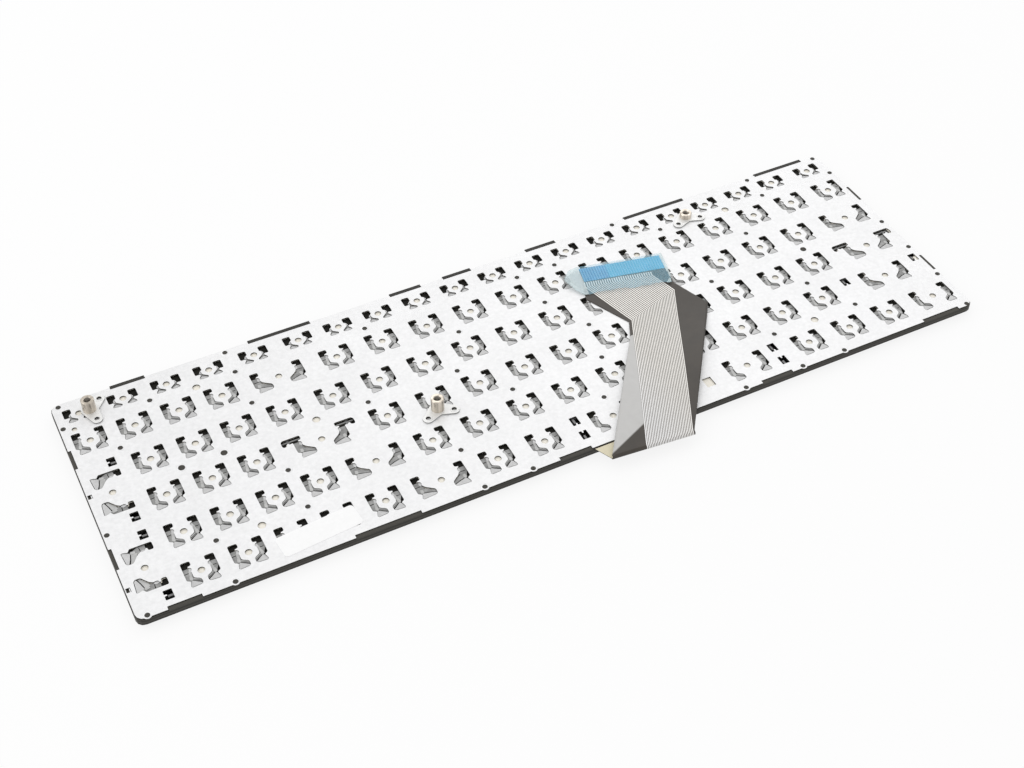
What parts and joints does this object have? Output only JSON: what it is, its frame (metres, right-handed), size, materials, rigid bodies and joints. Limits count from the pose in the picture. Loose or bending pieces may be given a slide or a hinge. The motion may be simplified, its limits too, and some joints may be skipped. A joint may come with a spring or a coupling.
{
  "type": "laptop replacement keyboard",
  "caption": "Thin laptop keyboard module lying on its keys, with a stamped metal back plate, threaded standoffs, a folded ribbon tail and keys that press in.",
  "frame": {"origin": "middle of the bounding box on the surface that the key faces lie on", "axes": "+X along the key rows towards the Esc side, +Y towards the function row, +Z out of the back plate"},
  "size_m": [0.344, 0.1214, 0.0111],
  "materials": {
    "plate": "satin",
    "frame": "matte",
    "film": "gloss",
    "dome": "matte",
    "bar": "satin",
    "flange": "satin",
    "standoff": "satin",
    "stiffener": "gloss",
    "cover_film": "gloss",
    "tape": "matte",
    "label": "matte",
    "keycap": "matte"
  },
  "bodies": {
    "keyboard_base": {"base_plate": "plate", "bezel_frame": "frame", "blank_label": "label", "edit_keycaps": "keycap", "fold_tape": "tape", "function_keycaps": "keycap", "pad_keycaps": "keycap", "rubber_domes": "dome", "stabilizer_bars": "bar", "standoff_flanges": "flange", "switch_membrane": "film", "tail_cover_film": "cover_film", "tail_stiffener": "stiffener", "threaded_standoffs": "standoff"},
    "key_0": {"keycap_0": "keycap"},
    "key_1": {"keycap_1": "keycap"},
    "key_2": {"keycap_2": "keycap"},
    "key_3": {"keycap_3": "keycap"},
    "key_4": {"keycap_4": "keycap"},
    "key_5": {"keycap_5": "keycap"},
    "key_6": {"keycap_6": "keycap"},
    "key_7": {"keycap_7": "keycap"},
    "key_8": {"keycap_8": "keycap"},
    "key_9": {"keycap_9": "keycap"},
    "key_a": {"keycap_a": "keycap"},
    "key_b": {"keycap_b": "keycap"},
    "key_c": {"keycap_c": "keycap"},
    "key_comma": {"keycap_comma": "keycap"},
    "key_d": {"keycap_d": "keycap"},
    "key_e": {"keycap_e": "keycap"},
    "key_equal": {"keycap_equal": "keycap"},
    "key_f": {"keycap_f": "keycap"},
    "key_g": {"keycap_g": "keycap"},
    "key_h": {"keycap_h": "keycap"},
    "key_i": {"keycap_i": "keycap"},
    "key_j": {"keycap_j": "keycap"},
    "key_k": {"keycap_k": "keycap"},
    "key_l": {"keycap_l": "keycap"},
    "key_left_bracket": {"keycap_left_bracket": "keycap"},
    "key_m": {"keycap_m": "keycap"},
    "key_minus": {"keycap_minus": "keycap"},
    "key_n": {"keycap_n": "keycap"},
    "key_o": {"keycap_o": "keycap"},
    "key_p": {"keycap_p": "keycap"},
    "key_period": {"keycap_period": "keycap"},
    "key_q": {"keycap_q": "keycap"},
    "key_quote": {"keycap_quote": "keycap"},
    "key_r": {"keycap_r": "keycap"},
    "key_right_bracket": {"keycap_right_bracket": "keycap"},
    "key_s": {"keycap_s": "keycap"},
    "key_semicolon": {"keycap_semicolon": "keycap"},
    "key_slash": {"keycap_slash": "keycap"},
    "key_space": {"keycap_space": "keycap"},
    "key_t": {"keycap_t": "keycap"},
    "key_u": {"keycap_u": "keycap"},
    "key_v": {"keycap_v": "keycap"},
    "key_w": {"keycap_w": "keycap"},
    "key_x": {"keycap_x": "keycap"},
    "key_y": {"keycap_y": "keycap"},
    "key_z": {"keycap_z": "keycap"}
  },
  "joints": [
    {"name": "press_0", "type": "slide", "parent": "keyboard_base", "child": "key_0", "axis": [0, 0, 1], "range_m": [0, 0.0014], "stiffness_N_per_m": 150, "springref_m": -0.002, "deforming": ["rubber_domes"]},
    {"name": "press_1", "type": "slide", "parent": "keyboard_base", "child": "key_1", "axis": [0, 0, 1], "range_m": [0, 0.0014], "stiffness_N_per_m": 150, "springref_m": -0.002, "deforming": ["rubber_domes"]},
    {"name": "press_2", "type": "slide", "parent": "keyboard_base", "child": "key_2", "axis": [0, 0, 1], "range_m": [0, 0.0014], "stiffness_N_per_m": 150, "springref_m": -0.002, "deforming": ["rubber_domes"]},
    {"name": "press_3", "type": "slide", "parent": "keyboard_base", "child": "key_3", "axis": [0, 0, 1], "range_m": [0, 0.0014], "stiffness_N_per_m": 150, "springref_m": -0.002, "deforming": ["rubber_domes"]},
    {"name": "press_4", "type": "slide", "parent": "keyboard_base", "child": "key_4", "axis": [0, 0, 1], "range_m": [0, 0.0014], "stiffness_N_per_m": 150, "springref_m": -0.002, "deforming": ["rubber_domes"]},
    {"name": "press_5", "type": "slide", "parent": "keyboard_base", "child": "key_5", "axis": [0, 0, 1], "range_m": [0, 0.0014], "stiffness_N_per_m": 150, "springref_m": -0.002, "deforming": ["rubber_domes"]},
    {"name": "press_6", "type": "slide", "parent": "keyboard_base", "child": "key_6", "axis": [0, 0, 1], "range_m": [0, 0.0014], "stiffness_N_per_m": 150, "springref_m": -0.002, "deforming": ["rubber_domes"]},
    {"name": "press_7", "type": "slide", "parent": "keyboard_base", "child": "key_7", "axis": [0, 0, 1], "range_m": [0, 0.0014], "stiffness_N_per_m": 150, "springref_m": -0.002, "deforming": ["rubber_domes"]},
    {"name": "press_8", "type": "slide", "parent": "keyboard_base", "child": "key_8", "axis": [0, 0, 1], "range_m": [0, 0.0014], "stiffness_N_per_m": 150, "springref_m": -0.002, "deforming": ["rubber_domes"]},
    {"name": "press_9", "type": "slide", "parent": "keyboard_base", "child": "key_9", "axis": [0, 0, 1], "range_m": [0, 0.0014], "stiffness_N_per_m": 150, "springref_m": -0.002, "deforming": ["rubber_domes"]},
    {"name": "press_a", "type": "slide", "parent": "keyboard_base", "child": "key_a", "axis": [0, 0, 1], "range_m": [0, 0.0014], "stiffness_N_per_m": 150, "springref_m": -0.002, "deforming": ["rubber_domes"]},
    {"name": "press_b", "type": "slide", "parent": "keyboard_base", "child": "key_b", "axis": [0, 0, 1], "range_m": [0, 0.0014], "stiffness_N_per_m": 150, "springref_m": -0.002, "deforming": ["rubber_domes"]},
    {"name": "press_c", "type": "slide", "parent": "keyboard_base", "child": "key_c", "axis": [0, 0, 1], "range_m": [0, 0.0014], "stiffness_N_per_m": 150, "springref_m": -0.002, "deforming": ["rubber_domes"]},
    {"name": "press_comma", "type": "slide", "parent": "keyboard_base", "child": "key_comma", "axis": [0, 0, 1], "range_m": [0, 0.0014], "stiffness_N_per_m": 150, "springref_m": -0.002, "deforming": ["rubber_domes"]},
    {"name": "press_d", "type": "slide", "parent": "keyboard_base", "child": "key_d", "axis": [0, 0, 1], "range_m": [0, 0.0014], "stiffness_N_per_m": 150, "springref_m": -0.002, "deforming": ["rubber_domes"]},
    {"name": "press_e", "type": "slide", "parent": "keyboard_base", "child": "key_e", "axis": [0, 0, 1], "range_m": [0, 0.0014], "stiffness_N_per_m": 150, "springref_m": -0.002, "deforming": ["rubber_domes"]},
    {"name": "press_equal", "type": "slide", "parent": "keyboard_base", "child": "key_equal", "axis": [0, 0, 1], "range_m": [0, 0.0014], "stiffness_N_per_m": 150, "springref_m": -0.002, "deforming": ["rubber_domes"]},
    {"name": "press_f", "type": "slide", "parent": "keyboard_base", "child": "key_f", "axis": [0, 0, 1], "range_m": [0, 0.0014], "stiffness_N_per_m": 150, "springref_m": -0.002, "deforming": ["rubber_domes"]},
    {"name": "press_g", "type": "slide", "parent": "keyboard_base", "child": "key_g", "axis": [0, 0, 1], "range_m": [0, 0.0014], "stiffness_N_per_m": 150, "springref_m": -0.002, "deforming": ["rubber_domes"]},
    {"name": "press_h", "type": "slide", "parent": "keyboard_base", "child": "key_h", "axis": [0, 0, 1], "range_m": [0, 0.0014], "stiffness_N_per_m": 150, "springref_m": -0.002, "deforming": ["rubber_domes"]},
    {"name": "press_i", "type": "slide", "parent": "keyboard_base", "child": "key_i", "axis": [0, 0, 1], "range_m": [0, 0.0014], "stiffness_N_per_m": 150, "springref_m": -0.002, "deforming": ["rubber_domes"]},
    {"name": "press_j", "type": "slide", "parent": "keyboard_base", "child": "key_j", "axis": [0, 0, 1], "range_m": [0, 0.0014], "stiffness_N_per_m": 150, "springref_m": -0.002, "deforming": ["rubber_domes"]},
    {"name": "press_k", "type": "slide", "parent": "keyboard_base", "child": "key_k", "axis": [0, 0, 1], "range_m": [0, 0.0014], "stiffness_N_per_m": 150, "springref_m": -0.002, "deforming": ["rubber_domes"]},
    {"name": "press_l", "type": "slide", "parent": "keyboard_base", "child": "key_l", "axis": [0, 0, 1], "range_m": [0, 0.0014], "stiffness_N_per_m": 150, "springref_m": -0.002, "deforming": ["rubber_domes"]},
    {"name": "press_left_bracket", "type": "slide", "parent": "keyboard_base", "child": "key_left_bracket", "axis": [0, 0, 1], "range_m": [0, 0.0014], "stiffness_N_per_m": 150, "springref_m": -0.002, "deforming": ["rubber_domes"]},
    {"name": "press_m", "type": "slide", "parent": "keyboard_base", "child": "key_m", "axis": [0, 0, 1], "range_m": [0, 0.0014], "stiffness_N_per_m": 150, "springref_m": -0.002, "deforming": ["rubber_domes"]},
    {"name": "press_minus", "type": "slide", "parent": "keyboard_base", "child": "key_minus", "axis": [0, 0, 1], "range_m": [0, 0.0014], "stiffness_N_per_m": 150, "springref_m": -0.002, "deforming": ["rubber_domes"]},
    {"name": "press_n", "type": "slide", "parent": "keyboard_base", "child": "key_n", "axis": [0, 0, 1], "range_m": [0, 0.0014], "stiffness_N_per_m": 150, "springref_m": -0.002, "deforming": ["rubber_domes"]},
    {"name": "press_o", "type": "slide", "parent": "keyboard_base", "child": "key_o", "axis": [0, 0, 1], "range_m": [0, 0.0014], "stiffness_N_per_m": 150, "springref_m": -0.002, "deforming": ["rubber_domes"]},
    {"name": "press_p", "type": "slide", "parent": "keyboard_base", "child": "key_p", "axis": [0, 0, 1], "range_m": [0, 0.0014], "stiffness_N_per_m": 150, "springref_m": -0.002, "deforming": ["rubber_domes"]},
    {"name": "press_period", "type": "slide", "parent": "keyboard_base", "child": "key_period", "axis": [0, 0, 1], "range_m": [0, 0.0014], "stiffness_N_per_m": 150, "springref_m": -0.002, "deforming": ["rubber_domes"]},
    {"name": "press_q", "type": "slide", "parent": "keyboard_base", "child": "key_q", "axis": [0, 0, 1], "range_m": [0, 0.0014], "stiffness_N_per_m": 150, "springref_m": -0.002, "deforming": ["rubber_domes"]},
    {"name": "press_quote", "type": "slide", "parent": "keyboard_base", "child": "key_quote", "axis": [0, 0, 1], "range_m": [0, 0.0014], "stiffness_N_per_m": 150, "springref_m": -0.002, "deforming": ["rubber_domes"]},
    {"name": "press_r", "type": "slide", "parent": "keyboard_base", "child": "key_r", "axis": [0, 0, 1], "range_m": [0, 0.0014], "stiffness_N_per_m": 150, "springref_m": -0.002, "deforming": ["rubber_domes"]},
    {"name": "press_right_bracket", "type": "slide", "parent": "keyboard_base", "child": "key_right_bracket", "axis": [0, 0, 1], "range_m": [0, 0.0014], "stiffness_N_per_m": 150, "springref_m": -0.002, "deforming": ["rubber_domes"]},
    {"name": "press_s", "type": "slide", "parent": "keyboard_base", "child": "key_s", "axis": [0, 0, 1], "range_m": [0, 0.0014], "stiffness_N_per_m": 150, "springref_m": -0.002, "deforming": ["rubber_domes"]},
    {"name": "press_semicolon", "type": "slide", "parent": "keyboard_base", "child": "key_semicolon", "axis": [0, 0, 1], "range_m": [0, 0.0014], "stiffness_N_per_m": 150, "springref_m": -0.002, "deforming": ["rubber_domes"]},
    {"name": "press_slash", "type": "slide", "parent": "keyboard_base", "child": "key_slash", "axis": [0, 0, 1], "range_m": [0, 0.0014], "stiffness_N_per_m": 150, "springref_m": -0.002, "deforming": ["rubber_domes"]},
    {"name": "press_space", "type": "slide", "parent": "keyboard_base", "child": "key_space", "axis": [0, 0, 1], "range_m": [0, 0.0014], "stiffness_N_per_m": 150, "springref_m": -0.002, "deforming": ["rubber_domes"]},
    {"name": "press_t", "type": "slide", "parent": "keyboard_base", "child": "key_t", "axis": [0, 0, 1], "range_m": [0, 0.0014], "stiffness_N_per_m": 150, "springref_m": -0.002, "deforming": ["rubber_domes"]},
    {"name": "press_u", "type": "slide", "parent": "keyboard_base", "child": "key_u", "axis": [0, 0, 1], "range_m": [0, 0.0014], "stiffness_N_per_m": 150, "springref_m": -0.002, "deforming": ["rubber_domes"]},
    {"name": "press_v", "type": "slide", "parent": "keyboard_base", "child": "key_v", "axis": [0, 0, 1], "range_m": [0, 0.0014], "stiffness_N_per_m": 150, "springref_m": -0.002, "deforming": ["rubber_domes"]},
    {"name": "press_w", "type": "slide", "parent": "keyboard_base", "child": "key_w", "axis": [0, 0, 1], "range_m": [0, 0.0014], "stiffness_N_per_m": 150, "springref_m": -0.002, "deforming": ["rubber_domes"]},
    {"name": "press_x", "type": "slide", "parent": "keyboard_base", "child": "key_x", "axis": [0, 0, 1], "range_m": [0, 0.0014], "stiffness_N_per_m": 150, "springref_m": -0.002, "deforming": ["rubber_domes"]},
    {"name": "press_y", "type": "slide", "parent": "keyboard_base", "child": "key_y", "axis": [0, 0, 1], "range_m": [0, 0.0014], "stiffness_N_per_m": 150, "springref_m": -0.002, "deforming": ["rubber_domes"]},
    {"name": "press_z", "type": "slide", "parent": "keyboard_base", "child": "key_z", "axis": [0, 0, 1], "range_m": [0, 0.0014], "stiffness_N_per_m": 150, "springref_m": -0.002, "deforming": ["rubber_domes"]}
  ]
}
